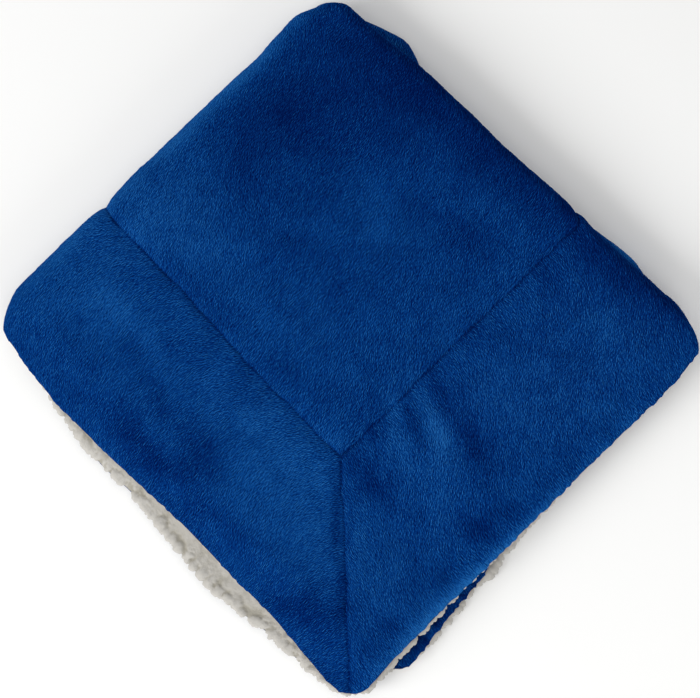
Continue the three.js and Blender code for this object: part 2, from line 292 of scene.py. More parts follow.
def pulled(x, y, on_top):
    """X and Y of the top leaf's cloth, moved at right angles to each seam by its table's curve, times a
    bell of the distance from the seam."""
    by_x = on_top * curve(END_SEAM, "by", y) * bell(x - END_SEAM["line"], END_SEAM["reach"])
    by_y = on_top * curve(SIDE_SEAM, "by", x) * bell(y - SIDE_SEAM["line"], SIDE_SEAM["reach"])
    return x + by_x, y + by_y


def fold(across, along, depth):
    """Flat points to folded ones, in millimetres. The first fold turns the cloth about the X axis and the
    second about the Y axis, each by the share of the bend that the point has passed. Beyond the bends, X
    and Y run evenly from the fold's place to the leaf's edge."""
    across, along = round_corners(across, along)
    upper = along < 0
    first_turn = clamp(across / FIRST_BEND, -1, 1) * np.pi / 2
    second_turn = clamp(along / SECOND_BEND, -1, 1) * np.pi / 2
    share_across = np.maximum(0, np.abs(across) - FIRST_BEND) / (WIDTH / 2 - FIRST_BEND)
    share_along = np.maximum(0, np.abs(along) - SECOND_BEND) / (LENGTH / 2 - SECOND_BEND)

    offset = LEAF_GAP / 2 + sewn(across, along, depth)
    in_second = np.cos(second_turn) ** 2
    radius = LEAF_GAP / 2 + PAIR - offset * np.sin(first_turn)
    above = curve(FIRST_FOLD, "above", share_along)
    fold_y = np.where(upper, above, curve(FIRST_FOLD, "below", share_along)) - ROUND_FOLD * in_second
    side_y = leaf_edge(SIDE_EDGES, share_along, across, along) + ROUND_SIDE * in_second * radius / ROLL
    y = mix(fold_y, side_y, share_across) + offset * np.cos(first_turn)

    end_x = leaf_edge(END_EDGES, share_across, across, along) - ROUND_END * np.cos(first_turn) ** 2
    fold_x = curve(SECOND_FOLD, "x", share_across)
    x = mix(fold_x, end_x, share_along) - radius * np.cos(second_turn)
    z = ROLL - radius * np.sin(second_turn)
    x, y = pulled(x, y, on_leaf(-1, across, along))
    past = curve(SIDE_EDGES, "leaf3", share_along) - y
    sag = np.where(upper, SAG["deep"] * smooth(past / SAG["wide"]) * (1 - in_second), 0)
    return np.stack([x - MIDDLE[0], y - MIDDLE[1], z * pressed(x, y) - sag], axis=-1)


corner = fold(np.array([-WIDTH / 2]), np.array([-LENGTH / 2]), np.array([CLOTH]))[0]
print("the top leaf's free corner lies at", corner.round(1), "mm")

# %% [markdown]
# ## Random pile that is the same each run
# Pile is never even. Three patterns are enough: soft hills for patches and clumps, rounded curls for the
# sherpa, and strokes for the plush, whose fibres lie down along the way they were last brushed. Each
# pattern is a table of random numbers that is read at the points of the cloth. Its seed, the last plain
# number in a call, makes it the same each run, and another seed gives another pattern of the same kind.

# %% Patterns of pile
TILE = 256
CURL_REACH = 0.7  # from a curl's middle to its foot, as a share of the lattice


def hills(across, along, size, seed, slant=0):
    """Soft hills about size mm apart, from -1 to 1: random heights on a square lattice, joined by the
    smooth step between the four nearest. slant turns the lattice, so that no row of hills shows."""
    heights = np.random.default_rng(seed).uniform(-1, 1, (TILE, TILE))
    a, b = (across + slant * along) / size, (along - slant * across) / size
    i, j = np.floor(a).astype(int), np.floor(b).astype(int)
    s, t = smooth(a - i), smooth(b - j)
    low = mix(heights[i % TILE, j % TILE], heights[(i + 1) % TILE, j % TILE], s)
    high = mix(heights[i % TILE, (j + 1) % TILE], heights[(i + 1) % TILE, (j + 1) % TILE], s)
    return mix(low, high, t)


def curls(across, along, size, seed):
    """Rounded curls about size mm wide, from 0 between them to 1 on top: half a circle over the distance
    to the nearest of the curls' middles, one in each lattice square, moved at random."""
    middles = np.random.default_rng(seed).uniform(0.1, 0.9, (TILE, TILE, 2))
    a, b = across / size, along / size
    i, j = np.floor(a).astype(int), np.floor(b).astype(int)
    nearest = np.full(a.shape, 4.0)
    for step_i in (-1, 0, 1):
        for step_j in (-1, 0, 1):
            middle = middles[(i + step_i) % TILE, (j + step_j) % TILE]
            gap_a = a - (i + step_i) - middle[..., 0]
            gap_b = b - (j + step_j) - middle[..., 1]
            nearest = np.minimum(nearest, gap_a**2 + gap_b**2)
    return np.sqrt(clamp(1 - nearest / CURL_REACH**2, 0, 1))


print("each pattern repeats after", TILE, "hills")

# %% [markdown]
# ## The plush's nap
# The nap runs a little aslant over the centre panel, across the side strips, and towards the edge on the
# end strips. Angles are measured from the way to the end edge, over the top leaf. Near a seam the fibres
# lean away from it. Strokes come from noise that is averaged along the nap, so they bend with it, which
# strands of hair would also give, but at a far higher cost.

# %% The way the nap lies
NAP = {"centre": 113, "side": 92, "end": 132, "wander": 14, "wander_size": 85}  # degrees, and mm
NAP_AT_SEAM = {"side": 62, "end": 172, "reach": 30}
NAP_AT_EDGE = {"end": 170, "side": 95, "reach": 28}
STROKE = {"long": 4.2, "wide": 1.0, "steps": 7, "gain": 1.6}  # the gain makes up for the averaging


def nap_angle(across, along):
    """The way the fibres lie, in radians: the panel's own angle, turned towards the seam's or the edge's
    angle by a bell of the distance from it, with soft hills added."""
    side, end = from_sides(across, along)
    on_side = (side < SIDE_BORDER) & (side / SIDE_BORDER < end / END_BORDER)
    on_end = (end < END_BORDER) & ~on_side
    angle = np.where(on_side, NAP["side"], np.where(on_end, NAP["end"], NAP["centre"]))
    by_seam = bell(from_seam(across, along), NAP_AT_SEAM["reach"])
    at_seam = np.where(on_side, NAP_AT_SEAM["side"], np.where(on_end, NAP_AT_SEAM["end"], angle))
    by_edge = bell(from_edge(across, along), NAP_AT_EDGE["reach"])
    at_edge = np.where(on_side, NAP_AT_EDGE["side"], NAP_AT_EDGE["end"])
    angle = mix(mix(angle, at_seam, by_seam), at_edge, by_edge * (on_side | on_end))
    return np.radians(angle + NAP["wander"] * hills(across, along, NAP["wander_size"], 5))


def nap_way(across, along):
    """The same as a unit vector on the flat cloth: sine and minus cosine of the angle, and 0."""
    angle = nap_angle(across, along)
    return np.stack([np.sin(angle), -np.cos(angle), np.zeros(across.shape)], axis=-1)


def strokes(across, along, way):
    """Strokes of pile, about -1 to 1: fine noise averaged over points in a row along the nap."""
    total = np.zeros(across.shape)
    for step in np.linspace(-0.5, 0.5, STROKE["steps"]) * STROKE["long"]:
        total += hills(across + step * way[..., 0], along + step * way[..., 1], STROKE["wide"], 21)
    return total / np.sqrt(STROKE["steps"]) * STROKE["gain"]


print("a stroke is", STROKE["long"], "mm long and", STROKE["wide"], "mm wide")

# %% [markdown]
# ## A closed panel from a grid
# Every plush panel is a thin closed shell. Its pile side is fine, about 1 mm from point to point on the
# top leaf, so that strokes and clumps are real shape. Its hidden side only has to close it, so it keeps
# one grid line in a few, and the rim joins the two like the teeth of a zip.

# %% Meshes from arrays
def squares(number):
    """Two triangles for each square of a grid of point numbers."""
    a, b = number[:-1, :-1].ravel(), number[1:, :-1].ravel()
    c, d = number[1:, 1:].ravel(), number[:-1, 1:].ravel()
    return np.concatenate([np.stack([a, b, c], 1), np.stack([a, c, d], 1)])


def zip_up(fine, coarse, kept):
    """Triangles between a fine line of points and a coarse one that keeps some of them. Each fine step
    joins the coarse point nearest to it, and each coarse step joins the fine point at its middle."""
    middle = (kept[:-1] + kept[1:]) // 2
    near = np.searchsorted(middle, np.arange(len(fine) - 1), side="right")
    teeth = np.stack([fine[:-1], fine[1:], coarse[near]], 1)
    gaps = np.stack([coarse[:-1], fine[middle], coarse[1:]], 1)
    return np.concatenate([teeth, gaps])


def normals_of(points):
    """Unit vectors at right angles to a grid of points: the cross product of its two directions."""
    normal = np.cross(np.gradient(points, axis=0), np.gradient(points, axis=1))
    return normal / np.maximum(np.linalg.norm(normal, axis=-1, keepdims=True), 1e-9)


def facing_out(triangles, points):
    """The triangles turned so that they enclose a volume above 0: a sixth of the sum of the triple
    products of their corners."""
    a, b, c = (points[triangles[:, n]] for n in range(3))
    volume = (a * np.cross(b, c)).sum() / 6
    return triangles if volume > 0 else triangles[:, ::-1]


def mesh_object(name, points, triangles, patterns, flat):
    """A mesh of these points, in millimetres, and triangles. patterns are numbers or vectors at each point
    that the material reads, and flat is each point's place on the flat cloth, which becomes the UV map."""
    triangles = facing_out(triangles, points)
    mesh = bpy.data.meshes.new(name)
    mesh.vertices.add(len(points))
    mesh.vertices.foreach_set("co", (points * MM).astype(np.float32).ravel())
    mesh.loops.add(3 * len(triangles))
    mesh.loops.foreach_set("vertex_index", triangles.astype(np.int32).ravel())
    mesh.polygons.add(len(triangles))
    mesh.polygons.foreach_set("loop_start", np.arange(0, 3 * len(triangles), 3, dtype=np.int32))
    mesh.polygons.foreach_set("use_smooth", np.ones(len(triangles), bool))
    for title, values in patterns.items():
        kind, field = ("FLOAT", "value") if values.ndim == 1 else ("FLOAT_VECTOR", "vector")
        mesh.attributes.new(title, kind, "POINT").data.foreach_set(field, values.astype(np.float32).ravel())
    layer = mesh.uv_layers.new(name="flat_cloth")
    layer.data.foreach_set("uv", (flat[triangles.ravel()] * MM).astype(np.float32).ravel())
    mesh.update()
    mesh.validate()
    piece = bpy.data.objects.new(name, mesh)
    bpy.context.scene.collection.objects.link(piece)
    print(f"{name}: {len(triangles)} triangles")
    return piece


# %% [markdown]
# ## Grid lines
# Grid lines lie close together where the cloth bends or shows, and wide apart inside the stack. A strip
# is a trapezoid: its lines along the seam shorten towards the centre panel, so that both mitres are
# straight grid lines.

# %% Where the grid lines lie
TOP_STEP = 1.0  # between points on the top leaf
HIDDEN_STEP = 6.5  # on the leaves inside the stack
BEND_STEP = 1.8  # round a fold
ONE_IN = 9  # the hidden side keeps one grid line in this many
ROUND_LINES = 8  # where a free edge rounds off
BY_SEAM = np.array([0, 0.3, 0.7, 1.2, 1.8])  # distances of grid lines from a seam, where the pile rolls in
SEAM_CLEAR = 2.5  # the even lines of a strip stop this far from its seam


def lines_between(low, high, step):
    """Even grid lines from low to high, at most step apart, without the last."""
    count = max(1, int(np.ceil((high - low) / step)))
    return np.linspace(low, high, count + 1)[:-1]


def lines_over_fold(half, bend):
    """Grid lines over a fold from one seam at -half, on the top leaf's side, to the other at half: close
    together by the seam, fine over the top leaf and the bend, then wide."""
    top = lines_between(2 * TOP_STEP + BY_SEAM[-1] - half, -bend, TOP_STEP)
    turn = lines_between(-bend, bend, BEND_STEP)
    return np.concatenate([BY_SEAM - half, top, turn, lines_between(bend, half, HIDDEN_STEP), [half]])


def lines_from_edge(border, step):
    """Distances from a free edge to the seam: close together where the edge rounds off."""
    rounding = NOSE * (1 - np.cos(np.linspace(0, np.pi / 2, ROUND_LINES)))
    even = lines_between(NOSE, border - SEAM_CLEAR, step)
    return np.concatenate([rounding[:-1], even, border - BY_SEAM[::-1]])


def some_of(count):
    """The grid lines that the hidden side keeps: the first, the last, and one in a few."""
    return np.concatenate([[0], np.arange(ONE_IN, count - ONE_IN // 2, ONE_IN), [count - 1]])


print("a side strip has", len(lines_from_edge(SIDE_BORDER, TOP_STEP)), "lines from edge to seam")

# %% [markdown]
# ## The plush's relief
# Brushed pile stands in soft clumps, with strokes on them and small puckers where a seam was sewn. The
# pile rolls down into each seam and over each free edge. All of it is real shape, added along the
# surface's normal, because a bump alone leaves the outline and the shadows smooth.

# %% Relief of the plush
CLUMP = {"size": 19, "slant": 0.4, "rise": 0.5}
RUFFLE = {"size": 6.5, "slant": -0.7, "rise": 0.14}
STROKE_RISE = 0.1
PUCKER = {"pitch": 9, "rise": 0.45, "reach": 7}  # where the sewing gathers the pile
SEAM_ROLL = {"drop": 0.75, "reach": 1.2}  # the pile rolls down into the seam
SEAM_LINE = {"off": 0.9, "pitch": 9, "reach": 12}  # no seam is quite straight
# the plush turns out at a free edge where it lies up, and in under the curls where the sherpa does
EDGE_ROLL = {"out": 0.3, "in": -1.9, "reach": 3.5, "lumps": 0.7, "tucked": 1.6, "pitch": 3}


def plush_relief(across, along, stroke):
    """Millimetres to add along the normal: clumps, ruffles and strokes, less a roll down into the seams,
    with puckers that come and go along each seam. At a free edge the plush turns over the sherpa on the
    leaves that lie with it up, and under the sherpa's curls on the others, in lumps of the edge's pitch."""
    gap = from_seam(across, along)
    relief = CLUMP["rise"] * hills(across, along, CLUMP["size"], 31, CLUMP["slant"])
    relief = relief + RUFFLE["rise"] * hills(across, along, RUFFLE["size"], 32, RUFFLE["slant"])
    wave = hills(across, along, PUCKER["pitch"], 33)
    relief = relief + STROKE_RISE * stroke + PUCKER["rise"] * wave * bell(gap, PUCKER["reach"])
    relief = relief * (1 - bell(gap, SEAM_ROLL["reach"])) - SEAM_ROLL["drop"] * bell(gap, SEAM_ROLL["reach"])
    roll = mix(EDGE_ROLL["in"], EDGE_ROLL["out"], face_up(across, along))
    rise = mix(EDGE_ROLL["lumps"], EDGE_ROLL["tucked"], on_leaf(1, across, along, 1))
    lumps = roll + rise * hills(across, along, EDGE_ROLL["pitch"], 34)
    return relief + lumps * bell(from_edge(across, along), EDGE_ROLL["reach"])


def off_line(across, along):
    """Flat points moved a little near a seam, by soft hills, so that the seams wander."""
    near = SEAM_LINE["off"] * bell(from_seam(across, along), SEAM_LINE["reach"])
    moved = across + near * hills(across, along, SEAM_LINE["pitch"], 35)
    return moved, along + near * hills(across, along, SEAM_LINE["pitch"], 36)


print("clumps are", CLUMP["size"], "mm apart and up to", CLUMP["rise"], "mm high")

# %% [markdown]
# ## Light and dark patches of the plush
# Plush looks lighter where its fibres lean away from the eye and darker where they lean towards it, and
# hands leave such patches all over it. A brushed grid of angles could do it, but then the light would
# decide, and each patch would be hard to place. So the patches are soft ovals of lighter or darker colour,
# placed one by one on the top leaf, over soft hills of three sizes. Some are the nap's own patches, and
# others are painted light and shade: painted shade over the top corner and along the first fold, and
# painted highlights along the free edges and over the second fold.

# %% Shade of the nap, with painted light and shade
NAP_HILLS = [  # size, slant, how much lighter or darker, and the seed
    (46, 1, 0.1, 41),
    (21, -0.5, 0.14, 42),
    (9, 0, 0.14, 43),
]
# painted shade in the groove where two panels meet
PAINTED_SEAM_SHADE = {"reach": 1.0, "shade": -0.6}  # the dark line between two panels
FOLD_GLINT = (103, 197, 18, 6, 0)  # the oval where the lower fold peeps out and catches the light
GLINT_SHADE = 1.7
TUCKED_SHADE = {"mean": -0.35, "spread": 0.8, "pitch": 6}  # the nap of leaf 3 lies the other way
NAP_AND_PAINTED_LIGHT_PATCHES = [  # x, y, length and width of an oval, its turn in degrees, and how much lighter it is
    # painted shade over the top corner and in a band along the first fold, which turns away from the light
    (-130, 135, 70, 60, 45, -0.8), (-145, 88, 20, 14, 45, -0.4), (-150, 50, 30, 25, 45, -0.4),
    (-106, 93, 26, 9, 45, -0.35), (-120, 110, 20, 8, 45, 0.25), (-128, 40, 16, 12, 0, -0.35),
    (-40, 188, 100, 30, 0, -0.8), (-20, 168, 45, 12, 0, -0.3), (105, 178, 60, 15, 0, -0.7),
    (74, 142, 20, 9, -45, -0.35), (50, 186, 14, 8, 0, -0.4), (150, 191, 22, 10, 0, -0.8),
    (147, 166, 18, 9, -45, 0.3),
    # a painted highlight along the second fold, and painted light over the left third
    (-196, 95, 120, 11, 90, 1.5), (-197, -60, 100, 10, 90, 0.4), (-190, -8, 12, 12, 0, -0.6),
    (-150, -60, 90, 70, 0, 0.25), (-165, -10, 60, 25, 90, 0.25), (-170, -48, 24, 14, 90, 0.2),
    (-120, -25, 30, 14, -15, 0.2), (-106, -5, 30, 14, 45, 0.2), (-196, -107, 25, 8, 90, 0.35),
    # the outer side strip, from left to bottom, with a painted highlight along its free edge
    (0, -120, 120, 40, 0, 0.2), (-186, -138, 24, 14, 0, 0.3), (-156, -128, 20, 8, 0, 0.3),
    (-118, -142, 14, 9, 0, -0.3), (-91, -162, 12, 9, 0, -0.3), (-150, -103, 35, 18, 0, 0.4),
    (-106, -112, 16, 8, 0, -0.35), (-100, -95, 40, 10, 0, 0.4), (-36, -82, 22, 9, -20, 0.35),
    (2, -90, 20, 8, 30, 0.35), (6, -68, 30, 9, 0, 0.2), (91, -95, 26, 3.5, -45, -0.5),
    (-50, -102, 25, 12, 0, 0.25), (-66, -124, 20, 10, -30, -0.5), (-69, -150, 14, 12, 0, -0.35),
    (-45, -157, 25, 10, 0, -0.6), (-20, -130, 16, 12, 20, -0.65), (-10, -146, 24, 8, 45, -0.45),
    (33, -152, 30, 10, 14, -0.4), (44, -101, 45, 28, -20, 0.4), (106, -122, 14, 10, 0, 0.3),
    (107, -164, 12, 8, 0, -0.35), (125, -150, 20, 10, 0, -0.5), (143, -138, 12, 8, 0, -0.4),
    (124, -126, 20, 7, 65, -0.25), (-30, -190, 120, 6, 0, 1.2), (109, -165, 14, 10, 0, -0.35),
    (127, -158, 18, 7, -45, -0.35), (53, -156, 12, 9, 0, -0.35), (-28, -76, 7, 6, 0, -0.35),
    (-87, -91, 10, 7, 0, -0.5), (-83, -112, 8, 6, 0, 0.4), (-57, -100, 9, 7, 0, -0.35),
    (-32, -120, 10, 8, 0, -0.3), (-37, -162, 20, 7, 45, -0.4), (-146, -124, 6, 5, 0, -0.4),
    (-64, -160, 10, 8, 0, -0.25),
    # the end strip, from bottom to right, with painted highlights along its free edge
    (130, 0, 170, 70, 90, 0.14), (143, -98, 28, 12, 60, 0.45), (111, -93, 18, 5, -14, 0.35),
    (153, -75, 13, 9, -45, -0.4), (167, -122, 12, 8, 0, -0.3), (66, -84, 12, 9, 0, 0.3),
    (107, -85, 14, 10, 0, 0.2), (120, -28, 25, 16, 0, 0.3), (105, 2, 22, 12, -50, 0.45),
    (84, 23, 24, 6, -22, -0.45), (86, 9, 28, 7, -23, 0.35), (81, -7, 18, 5, -20, -0.3),
    (79, -21, 18, 6, -22, 0.4), (62, -6, 14, 6, -22, 0.35), (89, -55, 16, 7, -25, -0.4),
    (74, -62, 16, 5, -10, -0.4), (106, 76, 18, 10, 45, 0.35), (116, 50, 16, 12, 0, 0.35),
    (128, 138, 18, 12, 0, 0.4), (172, 100, 24, 14, 30, 0.4), (183, 165, 18, 14, -45, 0.4),
    (124, 17, 24, 9, -20, -0.8), (70, 73, 14, 7, 90, -0.3), (168, -24, 13, 12, 0, -0.7),
    (174, -2, 12, 8, 0, -0.5), (195, -20, 110, 7, 90, 1.5), (192, -95, 60, 10, 90, 1.0),
    (173, -146, 18, 8, 45, -0.35), (174, -69, 9, 7, 0, -0.35), (104, -92, 12, 3.5, -45, -0.5),
    (67, -54, 8, 5, 0, -0.6), (103, -49, 10, 5, -45, -0.3), (153, -116, 12, 9, 0, 0.3),
    (67, -31, 8, 4, -18, -0.5), (95, -55, 14, 5, -18, -0.45), (72, -7, 14, 6, -18, 0.3),
    (82, -4, 16, 5, -18, -0.4), (95, 5, 18, 8, -18, 0.35), (129, -126, 16, 3.5, -45, -0.5),
    (173, -119, 8, 6, 0, -0.3),
    # the centre panel
    (-97, -50, 35, 10, 0, -0.35), (-54, -61, 12, 7, 0, 0.5), (-64, -30, 16, 12, 0, 0.25),
    (-38, -24, 16, 9, 30, 0.25), (50, -52, 13, 10, 0, 0.5), (22, -17, 22, 9, 45, 0.25),
    (-24, 28, 14, 10, 0, -0.3), (-62, 33, 18, 13, 20, -0.45), (-84, 6, 22, 8, -45, -0.2),
    (6, 116, 16, 13, 0, -0.4), (24, 122, 18, 13, 0, -0.2), (-28, 112, 18, 12, -60, -0.35),
    (-12, -42, 16, 12, 0, -0.4), (-37, 76, 22, 18, 0, 0.25), (-32, 136, 16, 12, 0, 0.25),
    (-72, 109, 16, 12, 0, 0.2), (48, 130, 22, 7, -60, 0.2),
]


def nap_and_painted_light(across, along):
    """How light the plush is coloured, about -1 to 1: the nap's soft hills, the patches of the top leaf with
    their painted light and shade, the painted glint of the lower fold, the painted shade in the seams, and
    the mottled shade of the leaf that is tucked in."""
    shade = 0
    for size, slant, strength, seed in NAP_HILLS:
        shade = shade + strength * hills(across, along, size, seed, slant)
    x, y, _ = np.moveaxis(fold(across, along, np.full(across.shape, CLOTH)), -1, 0)
    on_top = on_leaf(-1, across, along, -0.5)
    for *oval, strength in NAP_AND_PAINTED_LIGHT_PATCHES:
        shade = shade + on_top * strength * patch(x, y, oval)
    shade = shade + (along > 0) * GLINT_SHADE * patch(x, y, FOLD_GLINT)
    mottled = TUCKED_SHADE["mean"] + TUCKED_SHADE["spread"] * hills(across, along, TUCKED_SHADE["pitch"], 44)
    shade = shade + mottled * on_leaf(1, across, along, 1)
    return shade + PAINTED_SEAM_SHADE["shade"] * bell(from_seam(across, along), PAINTED_SEAM_SHADE["reach"])


print(len(NAP_AND_PAINTED_LIGHT_PATCHES), "patches on the top leaf")

# %% [markdown]
# ## The centre panel and the border strips
# Five pieces of plush are cut, sewn edge to edge and then folded with the back. Each is built here as it
# was cut, as its own closed panel. The two sides of a panel are the same flat points, folded at two depths.

# %% Plush panels
UPRIGHT = 3  # within about this distance of a seam the relief goes straight up from the ply
TABLE_FADE = {"from": 0.5, "over": 4}  # heights over the table at which the relief sets in


def pile_side(across, along, stroke):
    """The pile side of a panel: folded at the full depth, with the relief added along the normal, but
    straight up from the ply at a seam, so that the two panels there stay together."""
    place = off_line(across, along)
    top = fold(*place, np.full(across.shape, CLOTH))
    normal = normals_of(top)
    upright = top - fold(*place, np.full(across.shape, SHERPA))
    normal = normal * np.sign((normal * upright).sum(-1).mean())
    upright = upright / np.linalg.norm(upright, axis=-1, keepdims=True)
    by_seam = bell(from_seam(across, along), UPRIGHT) * smooth(from_edge(across, along) / NOSE)
    relief = plush_relief(across, along, stroke)
    relief = relief * smooth((top[..., 2] - TABLE_FADE["from"]) / TABLE_FADE["over"])
    return top + mix(normal, upright, by_seam[..., None]) * relief[..., None]


def plush_panel(name, across, along):
    """A closed plush panel from a grid of flat points: the pile side, the hidden side at the depth of the
    gap between the plies, on fewer grid lines, and the four rims between them."""
    way = nap_way(across, along)
    stroke = strokes(across, along, way)
    top = pile_side(across, along, stroke)
    some_i, some_j = some_of(across.shape[0]), some_of(across.shape[1])
    kept = np.ix_(some_i, some_j)
    hidden = fold(*off_line(across[kept], along[kept]), np.full(across[kept].shape, SHERPA + PLY_GAP))
    front = np.arange(across.size).reshape(across.shape)
    back = across.size + np.arange(across[kept].size).reshape(across[kept].shape)
    triangles = [
        squares(front),
        squares(back)[:, ::-1],
        zip_up(front[0], back[0], some_j),
        zip_up(front[-1], back[-1], some_j)[:, ::-1],
        zip_up(front[:, 0], back[:, 0], some_i)[:, ::-1],
        zip_up(front[:, -1], back[:, -1], some_i),
    ]
    points = np.concatenate([top.reshape(-1, 3), hidden.reshape(-1, 3)])
    flat = np.stack([across, along], -1)
    flat = np.concatenate([flat.reshape(-1, 2), flat[kept].reshape(-1, 2)])
    patterns = {
        "stroke": np.append(stroke.ravel(), np.zeros(back.size)),
        # the nap's own shade, with the painted light and shade of the top leaf, the lower fold and the seams
        "nap": np.append(nap_and_painted_light(across, along).ravel(), np.zeros(back.size)),
        "nap_way": np.concatenate([way.reshape(-1, 3), way[kept].reshape(-1, 3)]),
    }
    return mesh_object(name, points, np.concatenate(triangles), patterns, flat)


def centre_grid():
    """Flat points of the centre panel, just inside its outline."""
    across = lines_over_fold(WIDTH / 2 - SIDE_BORDER - SEAM_GAP / 2, FIRST_BEND)
    along = lines_over_fold(LENGTH / 2 - END_BORDER - SEAM_GAP / 2, SECOND_BEND)
    return np.meshgrid(across, along, indexing="ij")


def strip_grid(half, border, long_half, long_border, bend, sign, shown=-1):
    """Flat points of a strip as two arrays: the distance from the blanket's middle across the strip, and
    the place along it, which shortens from the free edge to the seam as the mitres do. shown is -1 or 1,
    for the end of the strip whose grid lines are fine."""
    inset = lines_from_edge(border, TOP_STEP if sign < 0 else 2 * TOP_STEP)
    lines = lines_over_fold(long_half, bend) / long_half
    lines = lines if shown < 0 else -lines[::-1]
    inset, line = np.meshgrid(inset, lines, indexing="ij")
    reach = half - inset * (1 - SEAM_GAP / 2 / border)
    return sign * reach, line * (long_half - long_border * inset / border - SEAM_GAP / np.sqrt(2))


side_sizes = (WIDTH / 2, SIDE_BORDER, LENGTH / 2, END_BORDER, SECOND_BEND)
end_sizes = (LENGTH / 2, END_BORDER, WIDTH / 2, SIDE_BORDER, FIRST_BEND)
pieces = {"centre_panel": plush_panel("plush_centre", *centre_grid())}
for node, sign in (("border_strip_side_outer", -1), ("border_strip_side_inner", 1)):
    pieces[node] = plush_panel(node.replace("border", "plush"), *strip_grid(*side_sizes, sign))
for node, sign in (("border_strip_end_upper", -1), ("border_strip_end_lower", 1)):
    along, across = strip_grid(*end_sizes, sign, shown=sign)
    pieces[node] = plush_panel(node.replace("border", "plush"), across, along)

# %% [markdown]
# ## The sherpa back
# The back is one piece of knitted fleece as large as the blanket. It is seen only where the leaves don't
# line up: a ribbon along the near edge, a sliver on the right, and the lumpy rims of all four leaves from
# the side. Its rim is therefore fine and its inside coarse. Rings of points follow the outline. Each ring
# is one row of a profile that runs from the inside over the pile, round the sewn edge, and back under the
# plush. Away from the rim each ring keeps half of the points of the one before, and a coarse sheet closes
# each side.

# %% The sherpa's profile
RIM_STEP = 1.25  # between the fine rings
RIM_WIDTH = 24  # they reach this far in from the edge
COARSE_STEP = 17.5  # between the points of the coarse sheets
BEND_STEPS = {"first": 4, "second": 6}  # coarse steps from a fold's line to the end of its bend
PAST_RIM = [(22, 4), (12, 3), (6, 2), (2.4, 1)]  # rings inside the rim: how far in, and how often halved
UNDER_PLUSH = [(1.2, 0), (5, 1), (11, 2), (20, 3), (46, 4)]  # rings of the hidden side, from the edge
HALVINGS = 4  # the coarse sheets have one point where the rim has two to this power


def rim_lines(half, bend, bend_steps):
    """Coarse grid lines from -half to half, as shares of half, closer together round the bend, and the
    fine lines that cut each coarse step into sixteen."""
    in_bend = np.linspace(0, bend, bend_steps + 1)[:-1]
    inner = np.concatenate([in_bend, lines_between(bend, half, COARSE_STEP)])
    coarse = np.concatenate([[-half], -inner[:0:-1], inner, [half]]) / half
    cut = 2**HALVINGS
    fine = np.interp(np.arange(cut * (len(coarse) - 1) + 1) / cut, np.arange(len(coarse)), coarse)
    return coarse, fine


def ring(inset, across_lines, along_lines):
    """Flat points of a ring at this distance inside the free edges, once round from one corner."""
    a, b = across_lines * (WIDTH / 2 - inset), along_lines * (LENGTH / 2 - inset)
    near = np.stack([a[:-1], np.full(len(a) - 1, b[0])], 1)
    right = np.stack([np.full(len(b) - 1, a[-1]), b[:-1]], 1)
    far = np.stack([a[:0:-1], np.full(len(a) - 1, b[-1])], 1)
    left = np.stack([np.full(len(b) - 1, a[0]), b[:0:-1]], 1)
    return np.concatenate([near, right, far, left])


def profile():
    """Rows of the rim as (inset, depth, halvings): in over the pile side, round the edge by a quarter
    circle, and in again on the hidden side."""
    rows = [(RIM_WIDTH + past, 0, level) for past, level in PAST_RIM]
    rows += [(inset, 0, 0) for inset in np.arange(RIM_WIDTH, NOSE, -RIM_STEP)]
    rows += [(NOSE * (1 - np.sin(turn)), 0, 0) for turn in np.linspace(0, np.pi / 2, ROUND_LINES)]
    return rows + [(inset, SHERPA, level) for inset, level in UNDER_PLUSH]


def between(one, other):
    """Triangles between two closed rings of point numbers, where one may have twice as many as the other."""
    if len(one) < len(other):
        return between(other, one)[:, ::-1]
    if len(one) == len(other):
        a, b, c, d = one, other, np.roll(other, -1), np.roll(one, -1)
        return np.concatenate([np.stack([a, b, c], 1), np.stack([a, c, d], 1)])
    a, b, c = one[::2], one[1::2], np.roll(one[::2], -1)
    low, high = other, np.roll(other, -1)
    return np.concatenate([np.stack(t, 1) for t in ((a, low, b), (b, low, high), (b, high, c))])


print("the rim has", len(profile()), "rings")

# %% [markdown]
# ## The sherpa's curls
# The pile is tumbled until it stands in curls, a big one every 9 mm with smaller ones on it. They are
# round lumps of real shape, because it is they that give the rim its ragged outline. They lie flat
# between two leaves and stand up at the free edge, where they hang over it. Near a fold the cloth is
# pulled tight and draws them in. The bottom leaf carries the others, so its pile spreads in tufts.

# %% Relief of the sherpa
# sink is the share of a curl that lies below the sheet, and no hollow is deeper than lowest
CURL = {"size": 9, "rise": 3.0, "small": 3.2, "small_rise": 1.7, "sink": 0.6, "lowest": -1.3}
TWIST = {"by": 2.6, "pitch": 11}  # the curls' pattern is pushed about, so that no lattice shows
LYING = {"flat": 0.3, "rim": 1.4}  # the share of a curl's height inside the stack, and at the sewn edge
FACING = 0.45  # curls are this much lower where another leaf lies on them
FREE_RIM = 1.4  # widths of the rim at which they are all covered, and they are all free at one less
HANG = 1.2  # the pile hangs this far over the sewn edge
HANG_REACH = 4  # by a bell this wide, from the edge inwards
TUCK = -1.8  # less than nothing: it stays back under plush that lies face up
# the pile is drawn in up to the first distance from a fold's line, and not at all past the second
DRAWN_IN = {"by": 2.4, "across": (125, 165), "along": (60, 95), "most": -3}
PRESSED_OUT = {  # "at" runs along the bottom leaf's end edge, from the first fold to the corner
    "at": [150, 175, 190, 207, 224, 233, 242, 250, 262, 300, 366],
    "by": [-2, -0.4, 0, 0.8, 2.2, 4.8, 1.6, -1.1, 1, 2.6, 2.6],
}
# painted light: the pile is coloured lighter farther in from the edge, where it lies flat under the next
# leaf
PAINTED_LIGHT_INWARD = 1.5  # combed flat under the next leaf, the pile looks lighter
LOWEST = 0.05  # no curl goes through the table


